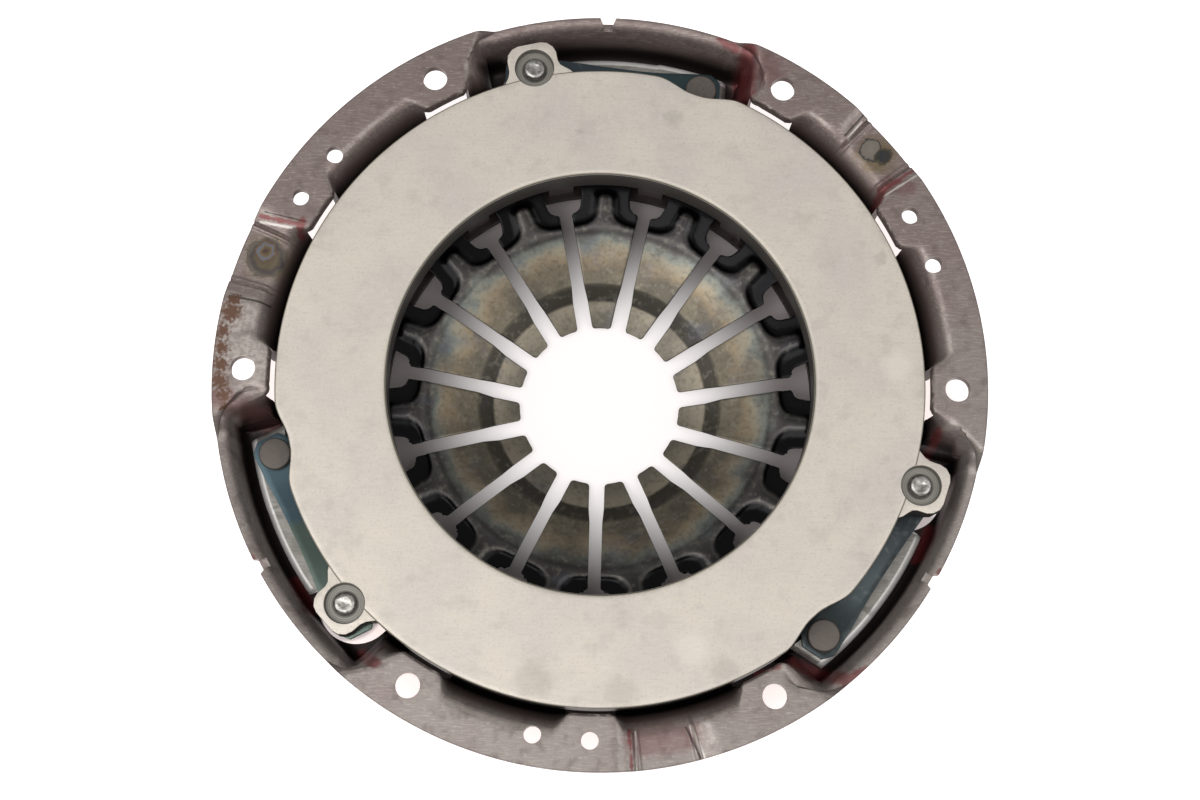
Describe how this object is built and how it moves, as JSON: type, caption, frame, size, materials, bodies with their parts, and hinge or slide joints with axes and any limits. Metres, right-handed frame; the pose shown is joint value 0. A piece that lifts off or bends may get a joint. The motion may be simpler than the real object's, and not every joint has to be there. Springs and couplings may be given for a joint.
{
  "type": "clutch pressure plate",
  "caption": "Push-type diaphragm-spring clutch cover assembly: stamped cover, cast friction ring on strap packs, slotted spring fingers and a flanged bolt circle.",
  "frame": {"origin": "centre of the bolt circle, on the flange face that bolts to the flywheel", "axes": "+Z out of that face, towards the flywheel; +X through the first bolt hole; angles anticlockwise seen from the flywheel"},
  "size_m": [0.2712, 0.2712, 0.0518],
  "materials": {
    "cover_steel": "bare stamped sheet, lightly sanded",
    "cast_iron": "ground friction face, cast sides",
    "spring_steel": "oiled and tempered, matt",
    "wire": "drawn wire",
    "strap_steel": "tempered blue-green",
    "rivet_dark": "matt, pressed flat",
    "rivet_bright": "bright, domed"
  },
  "bodies": {
    "cover": {"cover": "cover_steel", "diaphragm_spring": "spring_steel", "pivot_ring_rear": "wire", "pivot_ring_front": "wire", "cover_rivets": "rivet_dark", "strap_1_leaf_1": "strap_steel", "strap_1_leaf_2": "strap_steel", "strap_1_leaf_3": "strap_steel", "strap_2_leaf_1": "strap_steel", "strap_2_leaf_2": "strap_steel", "strap_2_leaf_3": "strap_steel", "strap_3_leaf_1": "strap_steel", "strap_3_leaf_2": "strap_steel", "strap_3_leaf_3": "strap_steel"},
    "pressure_plate": {"pressure_plate": "cast_iron", "lug_rivets": "rivet_bright"}
  },
  "joints": [
    {"name": "plate_lift", "type": "slide", "parent": "cover", "child": "pressure_plate", "axis": [0, 0, 1], "range_m": [-0.007, 0], "stiffness_N_per_m": 50000, "springref_m": 0.004, "deforming": ["diaphragm_spring", "strap_1_leaf_1", "strap_1_leaf_2", "strap_1_leaf_3", "strap_2_leaf_1", "strap_2_leaf_2", "strap_2_leaf_3", "strap_3_leaf_1", "strap_3_leaf_2", "strap_3_leaf_3"]}
  ]
}
